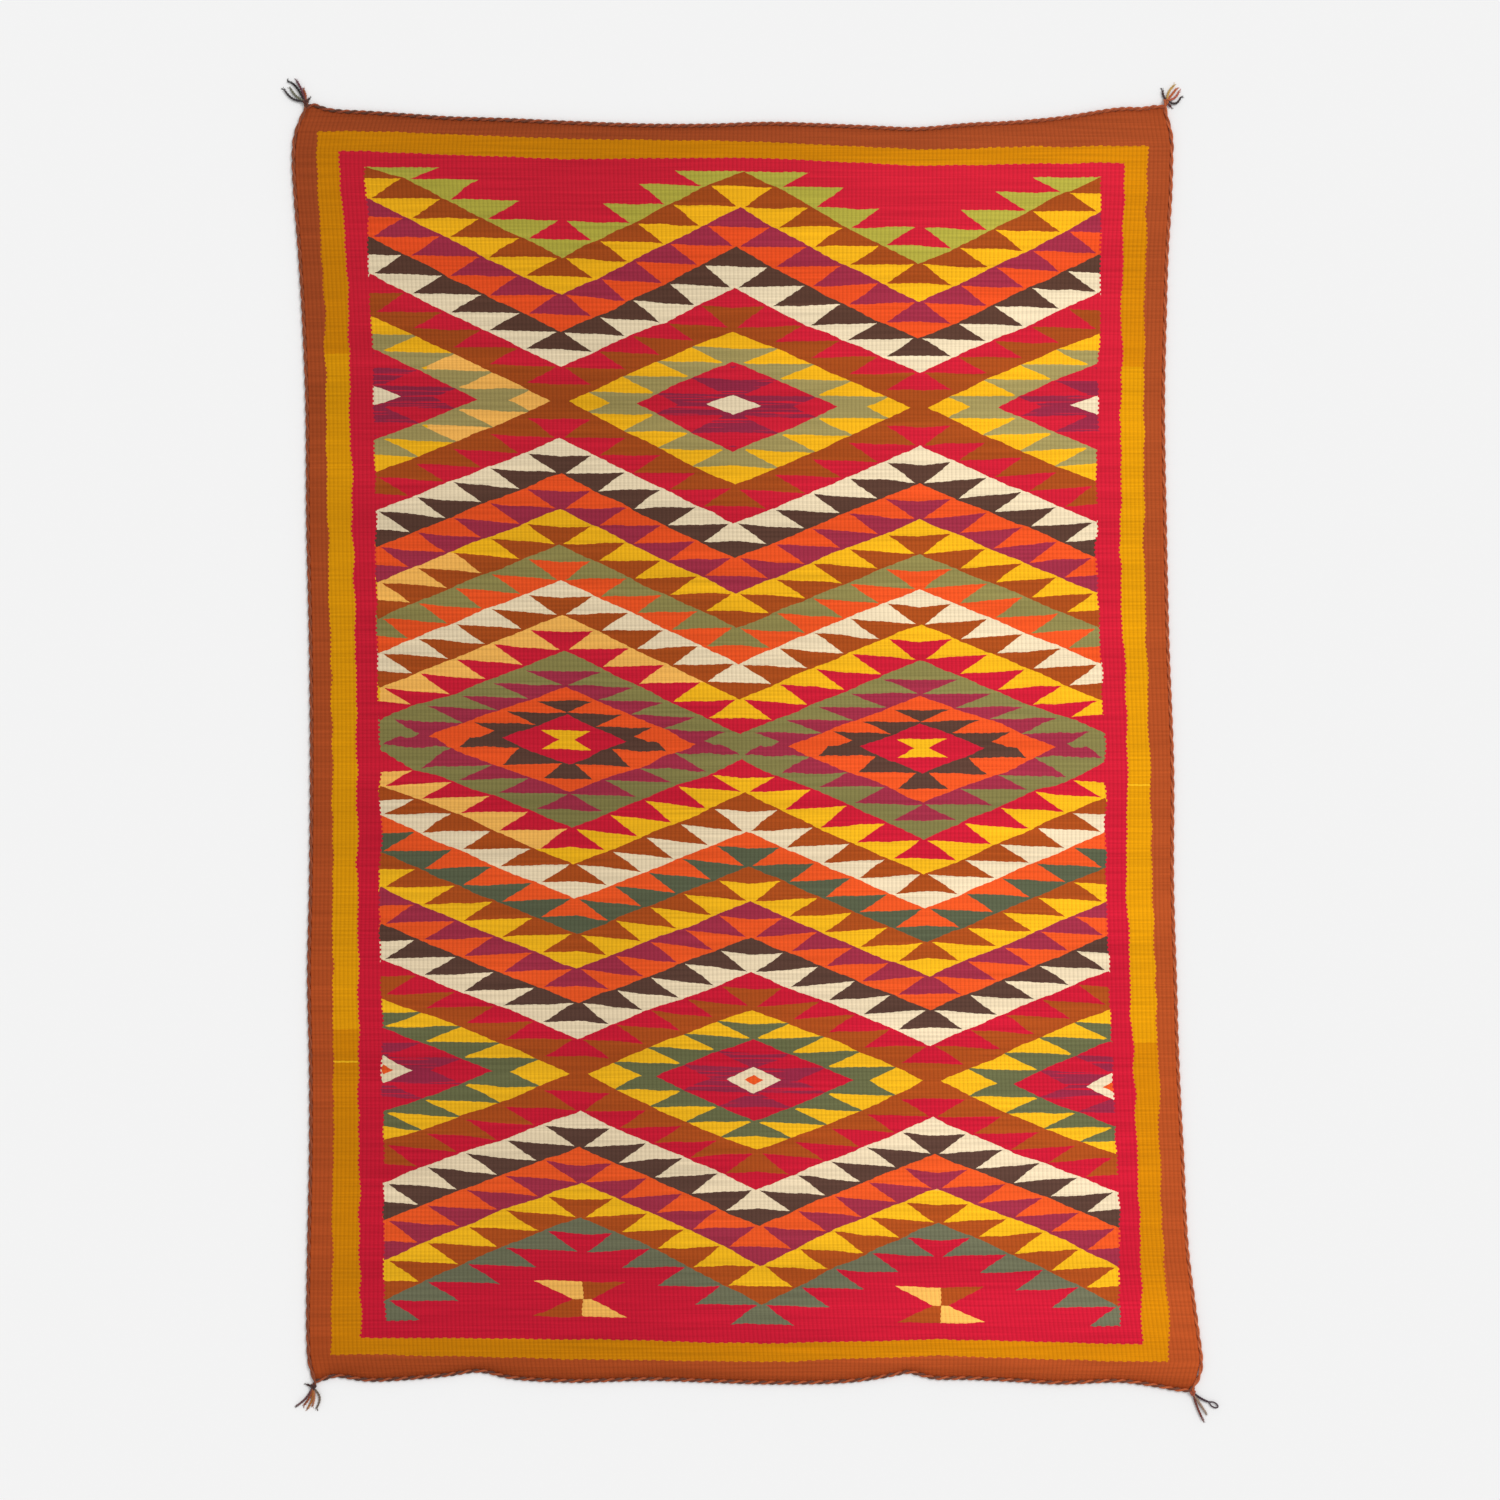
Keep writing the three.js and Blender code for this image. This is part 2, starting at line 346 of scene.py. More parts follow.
# The medallions: the reach of their outer edge, of the inner ring and of the red heart, and the rows that a
# column's width counts for at the first two. Their teeth are counted from the middle line, so many to each
# row, and the count stands still next to that line. The last two pairs are how far out the teeth's tips
# and bases lie.
MEDALLION = {"edge": 4.95, "edge_rows": 4.3, "ring": 2.95, "ring_rows": 4.0, "heart": 1.37}
TEETH_ABOVE_RIM = {"each_row": 1.3, "start": 0.05, "last_row": 4.4}
TEETH_ABOVE_CORE = {"each_row": 1.48, "start": -0.17}
TEETH_BELOW = {"each_row": 1.15, "start": 0.47}
LEAST_COUNT = 0.31
OUTER_TEETH = (4.7, 3.1)
INNER_TEETH = (2.75, 1.47)

# The small figures. An hourglass and a bow-tie are half so wide at the waist, in columns, flare out so much
# with each row, and are half so high. A diamond's eye narrows so much with each column and row.
HOURGLASS = {"waist": 0.04, "flare": 0.2, "half": 0.5}
BOW_TIE = {"row": 50.75, "waist": 0.045, "flare": 0.2, "half": 1.0}
EYE = {"by_column": 6.5, "by_row": 1.59, "less_by_row": -0.48, "pupil": 0.36}

# How often each pattern in the wool repeats in a metre, across and along the rug: a waver of the weaver's
# lines each 36 mm, streaks of dye 110 mm long and 2.4 mm high, bands of shade 45 mm high, and fibres
# 3.3 mm long and 0.9 mm apart, which are coarser than real ones so that they show.
WAVERS_PER_METRE = 28.0
STREAKS_PER_METRE = (9.0, 420.0, 1.0)
SHADES_PER_METRE = (0.8, 22.0, 1.0)
FIBRES_PER_METRE = (300.0, 1100.0, 300.0)
PICK_HEIGHT_MM = 2.6

# Where the weaver took up another batch of yarn, by the middle and half width in columns and in rows.
BATCHES = [
    {"yarn": "yellow", "now": "peach", "column": (0.65, 0.36), "row": (0, 2.63)},
    {"yarn": "yellow", "now": "peach", "column": (0.5, 0.5), "row": (11, 2)},
    {"yarn": "yellow", "now": "peach", "column": (0.5, 0.5), "row": (15, 3)},
    {"yarn": "yellow", "now": "peach", "column": (1.5, 0.5), "row": (14, 2)},
    {"yarn": "yellow", "now": "peach", "column": (0.5, 0.5), "row": (22.5, 2.5)},
    {"yarn": "yellow", "now": "peach", "column": (3, 0.2), "row": (43.5, 0.6)},
    {"yarn": "dark_green", "now": "grey_green", "column": (2, 3), "row": (0, 5.2)},
    {"yarn": "moss", "now": "olive", "column": (2, 3), "row": (14, 10)},
    {"yarn": "moss", "now": "teal", "column": (2, 3), "row": (29, 5)},
    {"yarn": "moss", "now": "slate", "column": (2, 3), "row": (48, 7)},
    {"yarn": "gold", "now": "yellow", "column": (5.5, 0.6), "row": (20.1, 0.06)},
    {"yarn": "gold", "now": "yellow", "column": (-1.5, 0.6), "row": (37.5, 0.06)},
    {"yarn": "gold", "now": "bright_gold", "column": (2, 5), "row": (16.4, 18.9)},
]


def set_stops(socket, stops):
    """Gives a colour ramp its steps, as pairs of a place and a linear colour."""
    ramp = socket.node.color_ramp
    ramp.interpolation = "CONSTANT"
    while len(ramp.elements) > 1:
        ramp.elements.remove(ramp.elements[-1])
    for index, (place, colour) in enumerate(stops):
        stop = ramp.elements[0] if index == 0 else ramp.elements.new(place)
        stop.position = place
        stop.color = colour


def yarn_code(name):
    """The number that stands for a yarn until the dye ramps turn it to a colour."""
    return (NAMES.index(name) + 0.5) / CODES


def tapestry_wool():
    """Hand-spun wool tapestry: matt and fibrous, ribbed by its warps and streaked by uneven dyeing."""
    material = bpy.data.materials.new("weft_faced_wool_tapestry")
    material.use_nodes = True
    tree = material.node_tree
    shader = tree.nodes["Principled BSDF"]

    # Rib and pick numbers, which make the edges of colours step as wefts turn round warps.
    weave = add(tree, "ShaderNodeUVMap", uv_map="weave")
    rib = add(tree, "ShaderNodeSeparateXYZ", {0: weave})
    height = rib.node.outputs[1]
    odd_rib = add(tree, "ShaderNodeMath", {0: rib}, operation="FLOOR")
    odd_rib = add(tree, "ShaderNodeMath", {0: odd_rib, 1: 2.0}, operation="FLOORED_MODULO")
    odd_rib = add(tree, "ShaderNodeMath", {0: odd_rib, 1: 0.5}, operation="SUBTRACT")
    turn = add(tree, "ShaderNodeMath", {0: height, 1: PICK_HEIGHT_MM}, operation="DIVIDE")
    turn = add(tree, "ShaderNodeMath", {0: turn}, operation="FLOOR")
    turn = add(tree, "ShaderNodeMath", {0: turn, 1: 2.0}, operation="FLOORED_MODULO")
    turn = add(tree, "ShaderNodeMath", {0: turn, 1: 0.5}, operation="SUBTRACT")

    # Slow waver of the weaver's lines, a millimetre or so either way.
    place = add(tree, "ShaderNodeTexCoord", out=3)
    waver = add(tree, "ShaderNodeTexNoise", {"Vector": place, "Scale": WAVERS_PER_METRE, "Detail": 1.0},
                out=1)
    waver = add(tree, "ShaderNodeVectorMath", {0: waver, 1: (0.5, 0.5, 0.5)}, operation="SUBTRACT")
    waver = add(tree, "ShaderNodeSeparateXYZ", {0: waver})
    waver_row = waver.node.outputs[1]

    # Streaks along the wefts, where one batch of dyed yarn follows another.
    long_way = add(tree, "ShaderNodeMapping", {0: place, "Scale": STREAKS_PER_METRE})
    streak = add(tree, "ShaderNodeTexNoise", {"Vector": long_way, "Scale": 1.0, "Detail": 2.0})

    # The chart's numbers, and the borders: how many stripes out from the field a place lies.
    chart = add(tree, "ShaderNodeUVMap", uv_map="chart")
    column = add(tree, "ShaderNodeSeparateXYZ", {0: chart})
    row = column.node.outputs[1]
    side = add(tree, "ShaderNodeMath", {0: column, 1: 2.0}, operation="SUBTRACT")
    side = add(tree, "ShaderNodeMath", {0: side}, operation="ABSOLUTE")
    side = add(tree, "ShaderNodeMath", {0: side, 1: 2.0}, operation="SUBTRACT")
    inside = add(tree, "ShaderNodeMath", {0: side, 1: 7.0}, operation="MULTIPLY")
    side = add(tree, "ShaderNodeMath", {0: side, 1: inside}, operation="MINIMUM")
    side = add(tree, "ShaderNodeMath", {0: waver, 1: 0.3, 2: side}, operation="MULTIPLY_ADD")
    side = add(tree, "ShaderNodeMath", {0: turn, 1: 0.05, 2: side}, operation="MULTIPLY_ADD")
    end = add(tree, "ShaderNodeMath", {0: waver_row, 1: 0.15, 2: row}, operation="MULTIPLY_ADD")
    end = add(tree, "ShaderNodeMath", {0: odd_rib, 1: 0.04, 2: end}, operation="MULTIPLY_ADD")
    end = add(tree, "ShaderNodeMath", {0: end, 1: FIELD_MIDDLE}, operation="SUBTRACT")
    end = add(tree, "ShaderNodeMath", {0: end}, operation="ABSOLUTE")
    end = add(tree, "ShaderNodeMath", {0: end, 1: FIELD_HALF}, operation="SUBTRACT")
    ring = add(tree, "ShaderNodeMath", {0: side, 1: end}, operation="MAXIMUM")
    on_border = add(tree, "ShaderNodeMath", {0: ring, 1: 0.0}, operation="GREATER_THAN")
    ring = add(tree, "ShaderNodeMath", {0: ring}, operation="FLOOR")
    ring = add(tree, "ShaderNodeMath", {0: ring, 1: 1 / BORDER_SLOTS, 2: 0.5 / BORDER_SLOTS},
               operation="MULTIPLY_ADD")
    border = add(tree, "ShaderNodeValToRGB", {0: ring})
    set_stops(border, [(k / BORDER_SLOTS, [yarn_code(name)] * 3 + [1]) for k, name in enumerate(BORDERS)])
    column = add(tree, "ShaderNodeMath", {0: waver, 1: 0.035, 2: column}, operation="MULTIPLY_ADD")
    column = add(tree, "ShaderNodeMath", {0: turn, 1: 0.003, 2: column}, operation="MULTIPLY_ADD")
    row = add(tree, "ShaderNodeMath", {0: waver_row, 1: 0.25, 2: row}, operation="MULTIPLY_ADD")
    row = add(tree, "ShaderNodeMath", {0: odd_rib, 1: 0.015, 2: row}, operation="MULTIPLY_ADD")

    # Reach: five rows for each column's width from a diamond's middle, and the rows above or below it.
    from_column = add(tree, "ShaderNodeMath", {0: column, 1: 1.0}, operation="PINGPONG")
    from_row = add(tree, "ShaderNodeMath", {0: row, 1: LINE_ROWS}, operation="PINGPONG")
    reach = add(tree, "ShaderNodeMath", {0: from_column, 1: COLUMN_ROWS, 2: from_row},
                operation="MULTIPLY_ADD")
    low_half = add(tree, "ShaderNodeMath", {0: row, 1: LINE_ROWS}, operation="GREATER_THAN")

    # Thin laps, where the next band's inner yarn runs on as a line without teeth.
    lap = 0.0
    for middle, half in LAPS:
        near = add(tree, "ShaderNodeMath", {0: reach, 1: middle, 2: half}, operation="COMPARE")
        lap = add(tree, "ShaderNodeMath", {0: near, 1: lap}, operation="MAXIMUM")
    not_lap = add(tree, "ShaderNodeMath", {0: 1.0, 1: lap}, operation="SUBTRACT")
    band = add(tree, "ShaderNodeMath", {0: lap, 1: 0.3, 2: reach}, operation="MULTIPLY_ADD")
    band = add(tree, "ShaderNodeMath", {0: band, 1: 0.5, 2: -0.5}, operation="MULTIPLY_ADD")
    in_band = add(tree, "ShaderNodeMath", {0: band}, operation="FRACT")
    band = add(tree, "ShaderNodeMath", {0: band}, operation="FLOOR")

    # Teeth: in each band of two rows the edge between its colours climbs once for each row. In the
    # diamonds the teeth start part of a row later than elsewhere, the outer ones reach right through the
    # band, and the tips above and below are plain.
    in_diamond = add(tree, "ShaderNodeMath", {0: reach, 1: DIAMOND_REACH}, operation="LESS_THAN")
    late = add(tree, "ShaderNodeMath", {0: low_half, 1: -0.19, 2: -0.63}, operation="MULTIPLY_ADD")
    tooth = add(tree, "ShaderNodeMath", {0: in_diamond, 1: late, 2: from_row}, operation="MULTIPLY_ADD")
    tooth = add(tree, "ShaderNodeMath", {0: tooth}, operation="FRACT")
    short = add(tree, "ShaderNodeMath", {0: tooth, 1: 1.0}, operation="SUBTRACT")
    short = add(tree, "ShaderNodeMath", {0: short, 1: in_diamond}, operation="MULTIPLY")
    tooth = add(tree, "ShaderNodeMath", {0: short, 1: TOOTH_OVERRUN, 2: tooth}, operation="MULTIPLY_ADD")
    tooth = add(tree, "ShaderNodeMath", {0: tooth, 1: 1 - 2 * TOOTH_BASE, 2: TOOTH_BASE},
                operation="MULTIPLY_ADD")
    outer = add(tree, "ShaderNodeMath", {0: in_band, 1: tooth}, operation="GREATER_THAN")
    outer = add(tree, "ShaderNodeMath", {0: outer, 1: not_lap}, operation="MULTIPLY")
    tip = add(tree, "ShaderNodeMath", {0: from_row, 1: DIAMOND_TIP}, operation="GREATER_THAN")
    tip = add(tree, "ShaderNodeMath", {0: tip, 1: in_diamond}, operation="MULTIPLY")
    outer = add(tree, "ShaderNodeMath", {0: outer, 1: tip}, operation="MAXIMUM")
    slot = add(tree, "ShaderNodeMath", {0: band, 1: 1 / BAND_SLOTS, 2: 1.5 / BAND_SLOTS},
               operation="MULTIPLY_ADD")
    pair = add(tree, "ShaderNodeValToRGB", {0: slot})
    set_stops(pair, [(k / BAND_SLOTS, [yarn_code(yarns["inner"]), yarn_code(yarns["outer"]), 0, 1])
                     for k, yarns in enumerate(BANDS)])
    pair = add(tree, "ShaderNodeSeparateColor", {0: pair})
    code = add(tree, "ShaderNodeMix", {0: outer, 2: pair, 3: pair.node.outputs[1]})

    # The medallions in the valleys of the middle line: two rings of teeth round an hourglass on red. The
    # chart's first row above and below their middle is deeper at their sides, which is made up for, and the
    # inner ring is drawn out sideways a little more than the outer one.
    up = add(tree, "ShaderNodeMath", {0: LINE_ROWS, 1: from_row}, operation="SUBTRACT")
    aside = add(tree, "ShaderNodeMath", {0: 1.0, 1: from_column}, operation="SUBTRACT")
    extra = add(tree, "ShaderNodeMath", {0: up, 1: 1.0}, operation="MINIMUM")
    extra = add(tree, "ShaderNodeMath", {0: extra, 1: aside}, operation="MULTIPLY")
    up = add(tree, "ShaderNodeMath", {0: extra, 1: 0.6, 2: up}, operation="MULTIPLY_ADD")
    depth = add(tree, "ShaderNodeMath", {0: aside, 1: MEDALLION["edge_rows"], 2: up},
                operation="MULTIPLY_ADD")
    inner_depth = add(tree, "ShaderNodeMath", {0: aside, 1: MEDALLION["ring_rows"], 2: up},
                      operation="MULTIPLY_ADD")
    inner_ring = add(tree, "ShaderNodeMath", {0: inner_depth, 1: MEDALLION["ring"]}, operation="LESS_THAN")
    low_enough = add(tree, "ShaderNodeMath", {0: up, 1: TEETH_ABOVE_RIM["last_row"]}, operation="MINIMUM")
    counts = []
    for height, teeth in ((low_enough, TEETH_ABOVE_RIM), (up, TEETH_ABOVE_CORE), (up, TEETH_BELOW)):
        counts.append(add(tree, "ShaderNodeMath", {0: height, 1: teeth["each_row"], 2: teeth["start"]},
                          operation="MULTIPLY_ADD"))
    above = add(tree, "ShaderNodeMix", {0: inner_ring, 2: counts[0], 3: counts[1]})
    above = add(tree, "ShaderNodeMath", {0: above, 1: LEAST_COUNT}, operation="MAXIMUM")
    tooth = add(tree, "ShaderNodeMix", {0: low_half, 2: above, 3: counts[2]})
    tooth = add(tree, "ShaderNodeMath", {0: tooth}, operation="FRACT")
    tooth = add(tree, "ShaderNodeMath", {0: 1.0, 1: tooth}, operation="SUBTRACT")
    shares = []
    for distance, (tips, bases) in ((depth, OUTER_TEETH), (inner_depth, INNER_TEETH)):
        shares.append(add(tree, "ShaderNodeMapRange", {0: distance, 1: tips, 2: bases, 3: 0.0, 4: 1.0}))
    share = add(tree, "ShaderNodeMix", {0: inner_ring, 2: shares[0], 3: shares[1]})
    tooth = add(tree, "ShaderNodeMath", {0: share, 1: tooth}, operation="LESS_THAN")
    rim_code = add(tree, "ShaderNodeMix", {0: tooth, 2: yarn_code("purple"), 3: yarn_code("moss")})
    core_code = add(tree, "ShaderNodeMix", {0: tooth, 2: yarn_code("black"), 3: yarn_code("orange")})
    medallion = add(tree, "ShaderNodeMix", {0: inner_ring, 2: rim_code, 3: core_code})
    heart = add(tree, "ShaderNodeMath", {0: inner_depth, 1: MEDALLION["heart"]}, operation="LESS_THAN")
    medallion = add(tree, "ShaderNodeMix", {0: heart, 2: medallion, 3: yarn_code("red")})
    waist = add(tree, "ShaderNodeMath", {0: up, 1: HOURGLASS["flare"], 2: HOURGLASS["waist"]},
                operation="MULTIPLY_ADD")
    hourglass = add(tree, "ShaderNodeMath", {0: aside, 1: waist}, operation="LESS_THAN")
    flat_end = add(tree, "ShaderNodeMath", {0: up, 1: HOURGLASS["half"]}, operation="LESS_THAN")
    hourglass = add(tree, "ShaderNodeMath", {0: hourglass, 1: flat_end}, operation="MULTIPLY")
    medallion = add(tree, "ShaderNodeMix", {0: hourglass, 2: medallion, 3: yarn_code("yellow")})
    in_medallion = add(tree, "ShaderNodeMath", {0: depth, 1: MEDALLION["edge"]}, operation="LESS_THAN")
    code = add(tree, "ShaderNodeMix", {0: in_medallion, 2: code, 3: medallion})

    # The end zones, which finish in plain red ground.
    past = add(tree, "ShaderNodeMath", {0: row, 1: LINE_ROWS}, operation="SUBTRACT")
    past = add(tree, "ShaderNodeMath", {0: past}, operation="ABSOLUTE")
    past = add(tree, "ShaderNodeMath", {0: past, 1: LINE_ROWS}, operation="GREATER_THAN")
    plain = add(tree, "ShaderNodeMath", {0: band, 1: outer}, operation="ADD")
    plain = add(tree, "ShaderNodeMath", {0: plain, 1: END_ZONE_BAND}, operation="GREATER_THAN")
    plain = add(tree, "ShaderNodeMath", {0: plain, 1: past}, operation="MULTIPLY")
    code = add(tree, "ShaderNodeMix", {0: plain, 2: code, 3: yarn_code("red")})

    # The small cream diamond in each diamond's middle, with an orange one inside it on the lower line.
    flat = add(tree, "ShaderNodeMath", {0: low_half, 1: EYE["less_by_row"], 2: EYE["by_row"]},
               operation="MULTIPLY_ADD")
    eye = add(tree, "ShaderNodeMath", {0: flat, 1: from_row}, operation="MULTIPLY")
    eye = add(tree, "ShaderNodeMath", {0: from_column, 1: EYE["by_column"], 2: eye}, operation="MULTIPLY_ADD")
    in_eye = add(tree, "ShaderNodeMath", {0: eye, 1: 1.0}, operation="LESS_THAN")
    code = add(tree, "ShaderNodeMix", {0: in_eye, 2: code, 3: yarn_code("cream")})
    pupil = add(tree, "ShaderNodeMath", {0: eye, 1: EYE["pupil"]}, operation="LESS_THAN")
    pupil = add(tree, "ShaderNodeMath", {0: pupil, 1: low_half}, operation="MULTIPLY")
    code = add(tree, "ShaderNodeMix", {0: pupil, 2: code, 3: yarn_code("orange")})

    # The two bow-ties low in the field, each in four quarters of peach and brown.
    tie_row = add(tree, "ShaderNodeMath", {0: row, 1: BOW_TIE["row"]}, operation="SUBTRACT")
    tie_high = add(tree, "ShaderNodeMath", {0: tie_row}, operation="ABSOLUTE")
    tie_wide = add(tree, "ShaderNodeMath", {0: tie_high, 1: BOW_TIE["flare"], 2: BOW_TIE["waist"]},
                   operation="MULTIPLY_ADD")
    tie = add(tree, "ShaderNodeMath", {0: aside, 1: tie_wide}, operation="LESS_THAN")
    tie_high = add(tree, "ShaderNodeMath", {0: tie_high, 1: BOW_TIE["half"]}, operation="LESS_THAN")
    tie = add(tree, "ShaderNodeMath", {0: tie, 1: tie_high}, operation="MULTIPLY")
    tie_side = add(tree, "ShaderNodeMath", {0: column, 1: 1.0}, operation="SUBTRACT")
    tie_side = add(tree, "ShaderNodeMath", {0: tie_side, 1: 1.0, 2: -1.0}, operation="WRAP")
    quarter = add(tree, "ShaderNodeMath", {0: tie_side, 1: tie_row}, operation="MULTIPLY")
    quarter = add(tree, "ShaderNodeMath", {0: quarter, 1: 0.0}, operation="GREATER_THAN")
    tie_code = add(tree, "ShaderNodeMix", {0: quarter, 2: yarn_code("brown"), 3: yarn_code("peach")})
    code = add(tree, "ShaderNodeMix", {0: tie, 2: code, 3: tie_code})

    # The borders over the field, then the places where another batch of yarn was taken up.
    code = add(tree, "ShaderNodeMix", {0: on_border, 2: code, 3: border})
    for batch in BATCHES:
        hit = add(tree, "ShaderNodeMath", {0: code, 1: yarn_code(batch["yarn"]), 2: SAME_YARN},
                  operation="COMPARE")
        for number, (middle, half) in ((column, batch["column"]), (row, batch["row"])):
            near = add(tree, "ShaderNodeMath", {0: number, 1: middle, 2: half}, operation="COMPARE")
            hit = add(tree, "ShaderNodeMath", {0: hit, 1: near}, operation="MULTIPLY")
        code = add(tree, "ShaderNodeMix", {0: hit, 2: code, 3: yarn_code(batch["now"])})

    # In the hearts of the diamonds a few wefts of red lie between the plum ones, and their tips are red.
    plum = add(tree, "ShaderNodeMath", {0: code, 1: yarn_code("plum"), 2: SAME_YARN}, operation="COMPARE")
    red_weft = add(tree, "ShaderNodeMath", {0: streak, 1: 0.59}, operation="GREATER_THAN")
    red_tip = add(tree, "ShaderNodeMath", {0: from_row, 1: 2.5}, operation="GREATER_THAN")
    red_weft = add(tree, "ShaderNodeMath", {0: red_weft, 1: red_tip}, operation="MAXIMUM")
    red_weft = add(tree, "ShaderNodeMath", {0: plum, 1: red_weft}, operation="MULTIPLY")
    code = add(tree, "ShaderNodeMix", {0: red_weft, 2: code, 3: yarn_code("red")})

    # The dyes, which change a little from one end of the rug to the other.
    dyes = []
    for end in (0, 1):
        dyes.append(add(tree, "ShaderNodeValToRGB", {0: code}))
        set_stops(dyes[-1], [(k / CODES, linear(YARNS[name][end])) for k, name in enumerate(NAMES)])
    axes = add(tree, "ShaderNodeSeparateXYZ", {0: place})
    down = add(tree, "ShaderNodeMapRange", {0: axes.node.outputs[1], 1: 0.6, 2: -0.35, 3: 0.0, 4: 1.0})
    dye = add(tree, "ShaderNodeMix", {0: down, 6: dyes[0], 7: dyes[1]}, out=2, data_type="RGBA")

    # The wool is painted paler towards the right and darker towards the left: painted light, as from a lamp
    # on that side.
    shade = add(tree, "ShaderNodeMapRange", {0: axes, 1: -0.2, 2: 0.3, 3: 0.86, 4: 1.18},
                interpolation_type="SMOOTHSTEP")
    streak = add(tree, "ShaderNodeMapRange", {0: streak, 1: 0.25, 2: 0.75, 3: 0.84, 4: 1.14})
    shade = add(tree, "ShaderNodeMath", {0: shade, 1: streak}, operation="MULTIPLY")
    bands = add(tree, "ShaderNodeMapping", {0: place, "Scale": SHADES_PER_METRE})
    bands = add(tree, "ShaderNodeTexNoise", {"Vector": bands, "Scale": 1.0, "Detail": 2.0})
    bands = add(tree, "ShaderNodeMapRange", {0: bands, 1: 0.3, 2: 0.7, 3: 0.93, 4: 1.07})
    shade = add(tree, "ShaderNodeMath", {0: shade, 1: bands}, operation="MULTIPLY")

    # Between two warps, in the grooves, the colour is darkened: painted shade.
    in_rib = add(tree, "ShaderNodeMath", {0: rib}, operation="FRACT")
    in_rib = add(tree, "ShaderNodeMath", {0: in_rib, 1: 0.5}, operation="SUBTRACT")
    in_rib = add(tree, "ShaderNodeMath", {0: in_rib}, operation="ABSOLUTE")
    painted_groove_shade = add(tree, "ShaderNodeMapRange", {0: in_rib, 1: 0.2, 2: 0.5, 3: 1.0, 4: 0.84})
    shade = add(tree, "ShaderNodeMath", {0: shade, 1: painted_groove_shade}, operation="MULTIPLY")
    colour = add(tree, "ShaderNodeVectorMath", {0: dye, "Scale": shade}, operation="SCALE")
    tree.links.new(colour, shader.inputs["Base Color"])

    # The wefts' dips between warps are too fine to show, so the bump is the wool's fibres, which lie along
    # the wefts.
    grain = add(tree, "ShaderNodeMapping", {0: place, "Scale": FIBRES_PER_METRE})
    fibre = add(tree, "ShaderNodeTexNoise", {"Vector": grain, "Scale": 1.0, "Detail": 3.0})
    bump = add(tree, "ShaderNodeBump", {"Strength": 0.5, "Distance": 0.0006, "Height": fibre})
    tree.links.new(bump, shader.inputs["Normal"])
    shader.inputs["Roughness"].default_value = 0.9
    shader.inputs["IOR"].default_value = 1.55
    shader.inputs["Specular IOR Level"].default_value = 0.05
    return material


panel = as_object("woven_panel", weave_panel())
panel.data.materials.append(tapestry_wool())
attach(panel, "root")
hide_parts("rug_panel")

# The end and side cords: two plies of wool twined round each other along every edge, which bind the
# turns of the warp and the selvages. Each runs from one corner knot to the next, and hugs the panel's
# corners so that no light shows between them and the knot.
PLY_RADIUS = 1.2 * MM
PLY_ORBIT = 1.05 * MM
CORD_HEIGHT = 2.25 * MM
CORD_OUT = 2.4 * MM
PLY_SIDES = 8
STEPS_PER_TURN = 12
KNOT_GAP = 8 * MM
CORNER_SHARE = 0.25
RIM_STEP = 14 * MM
YARN_FIBRES_PER_METRE = 700.0
SKYWARD = Vector((0, 0, 1))
CORDS = {
    "end_cord_bottom": {"side": "bottom", "from": "bottom_left", "to": "bottom_right", "turn": 17.6 * MM},
    "side_cord_right": {"side": "right", "from": "bottom_right", "to": "top_right", "turn": 28 * MM},
    "end_cord_top": {"side": "top", "from": "top_left", "to": "top_right", "turn": 17.6 * MM},
    "side_cord_left": {"side": "left", "from": "bottom_left", "to": "top_left", "turn": 28 * MM},
}
CORD_YARNS = {
    "end_cord_bottom": (("#5A3226", "#6A3A28"), ("#A24C24", "#B05428")),
    "end_cord_top": (("#623624", "#9E4A26"), ("#9A4622", "#AA5028")),
    "side_cord_left": (("#8A4426", "#8E4826"), ("#9A4A26", "#A04E28")),
    "side_cord_right": (("#A85028", "#A04C28"), ("#B85C30", "#B4582E")),
}


def knot_place(corner):
    """The middle of a corner's knot, from the high part of its CAD solid."""
    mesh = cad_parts[f"tassel_{corner}"].data
    high = [vert.co for vert in mesh.vertices if vert.co.z > 3 * MM]
    return Vector((sum(co.x for co in high) / len(high), sum(co.y for co in high) / len(high), CORD_HEIGHT))


def smooth_line(points, step):
    """Points a step apart along the round curve through a few given ones."""
    points = [Vector(p) for p in points]
    ends = [points[0] * 2 - points[1]] + points + [points[-1] * 2 - points[-2]]
    line = []
    for a, b, c, d in zip(ends, ends[1:], ends[2:], ends[3:]):
        count = max(1, round((c - b).length / step))
        for k in range(count):
            t = k / count
            line.append(0.5 * (2 * b + (c - a) * t + (2 * a - 5 * b + 4 * c - d) * t * t
                               + (3 * b - a - 3 * c + d) * t * t * t))
    return line + [points[-1]]


def rolled_tube(bm, line, radii, sides, dyes, closed=False):
    """Adds a tube with a radius and a dye for each point of its line: a rolled grid with its seam merged."""
    count = len(line)
    verts = bmesh.ops.create_grid(bm, x_segments=count - 1, y_segments=sides, size=1)["verts"]
    station = {vert: divmod(index, count) for index, vert in enumerate(verts)}
    for vert, (turn, place) in station.items():
        before = line[(place - 1) % count if closed else max(place - 1, 0)]
        after = line[(place + 1) % count if closed else min(place + 1, count - 1)]
        side = (after - before).cross(SKYWARD).normalized()
        up = side.cross(after - before).normalized()
        angle = math.tau * turn / sides
        vert.co = line[place] + (side * math.cos(angle) + up * math.sin(angle)) * radii[place]
    faces = {face for vert in verts for face in vert.link_faces}
    colour = bm.loops.layers.float_color["dye"]
    twist = bm.loops.layers.uv["twist"]
    for face in faces:
        face.smooth = True
        for loop in face.loops:
            turn, place = station[loop.vert]
            loop[colour] = dyes[place]
            loop[twist].uv = (place / count, turn / sides)
    bmesh.ops.remove_doubles(bm, verts=verts, dist=1e-7)
    return faces


